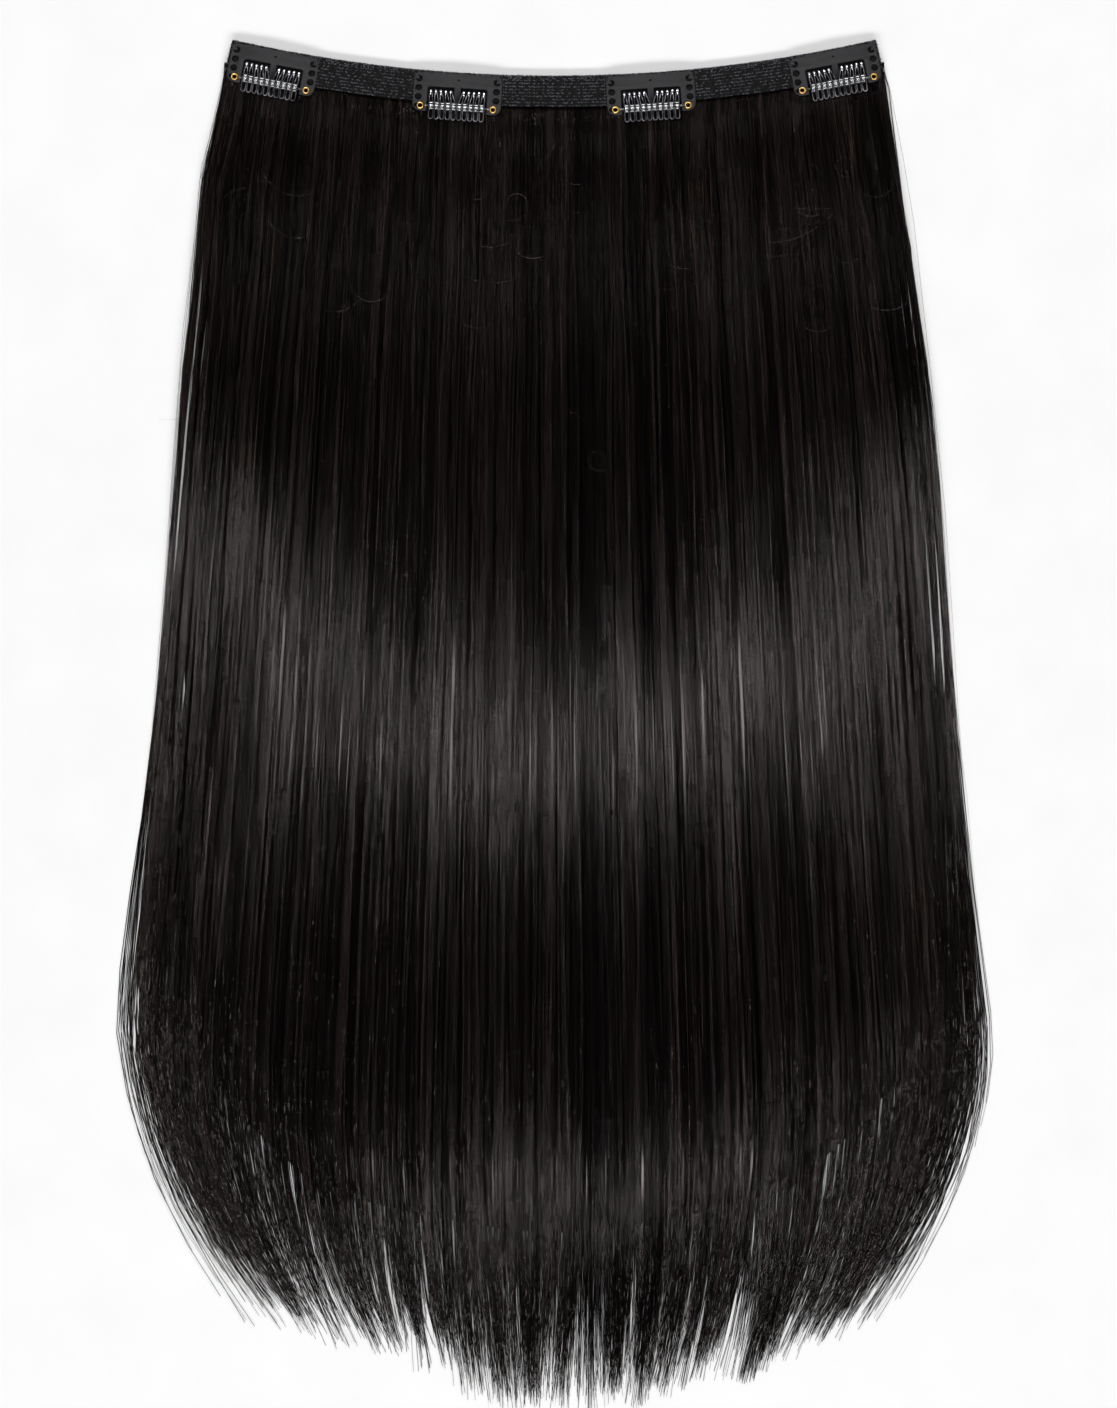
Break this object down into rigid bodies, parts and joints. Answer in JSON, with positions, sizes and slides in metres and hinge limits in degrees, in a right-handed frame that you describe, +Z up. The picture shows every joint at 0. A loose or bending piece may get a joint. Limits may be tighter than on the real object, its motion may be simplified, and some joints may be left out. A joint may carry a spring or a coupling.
{
  "type": "clip-in hair extension",
  "caption": "Wide fall of straight dark hair on a folded fabric band, with snap comb clips that have silicone grips and brass eyelets.",
  "frame": {"origin": "middle of the underside of the whole piece as it lies on its back, clips up", "axes": "+Y from the hair's tips towards the band, +X to the right seen from above, +Z up through the clips"},
  "size_m": [0.3132, 0.4946, 0.0063],
  "materials": {
    "hair": "silky straight hair, near black",
    "band": "matt looped knit tape",
    "clip_metal": "satin black lacquer",
    "silicone": "glossy smoky silicone",
    "eyelet": "polished"
  },
  "bodies": {
    "hairpiece": {"band": "band", "hair": "hair", "clip_1_frame": "clip_metal", "clip_1_eyelet_left": "eyelet", "clip_1_eyelet_right": "eyelet", "clip_2_frame": "clip_metal", "clip_2_eyelet_left": "eyelet", "clip_2_eyelet_right": "eyelet", "clip_3_frame": "clip_metal", "clip_3_eyelet_left": "eyelet", "clip_3_eyelet_right": "eyelet", "clip_4_frame": "clip_metal", "clip_4_eyelet_left": "eyelet", "clip_4_eyelet_right": "eyelet"},
    "comb_1": {"clip_1_comb": "clip_metal", "clip_1_grip": "silicone"},
    "comb_2": {"clip_2_comb": "clip_metal", "clip_2_grip": "silicone"},
    "comb_3": {"clip_3_comb": "clip_metal", "clip_3_grip": "silicone"},
    "comb_4": {"clip_4_comb": "clip_metal", "clip_4_grip": "silicone"}
  },
  "joints": [
    {"name": "clip_1_snap", "type": "hinge", "parent": "hairpiece", "child": "comb_1", "pos_m": [-0.10325, 0.23107, 0.00468], "axis": [0.9818, -0.19, 0], "range_deg": [0, 35]},
    {"name": "clip_2_snap", "type": "hinge", "parent": "hairpiece", "child": "comb_2", "pos_m": [-0.0355, 0.22234, 0.00468], "axis": [0.9979, -0.0653, 0], "range_deg": [0, 35]},
    {"name": "clip_3_snap", "type": "hinge", "parent": "hairpiece", "child": "comb_3", "pos_m": [0.0355, 0.22234, 0.00468], "axis": [0.9979, 0.0653, 0], "range_deg": [0, 35]},
    {"name": "clip_4_snap", "type": "hinge", "parent": "hairpiece", "child": "comb_4", "pos_m": [0.10325, 0.23107, 0.00468], "axis": [0.9818, 0.19, 0], "range_deg": [0, 35]}
  ]
}
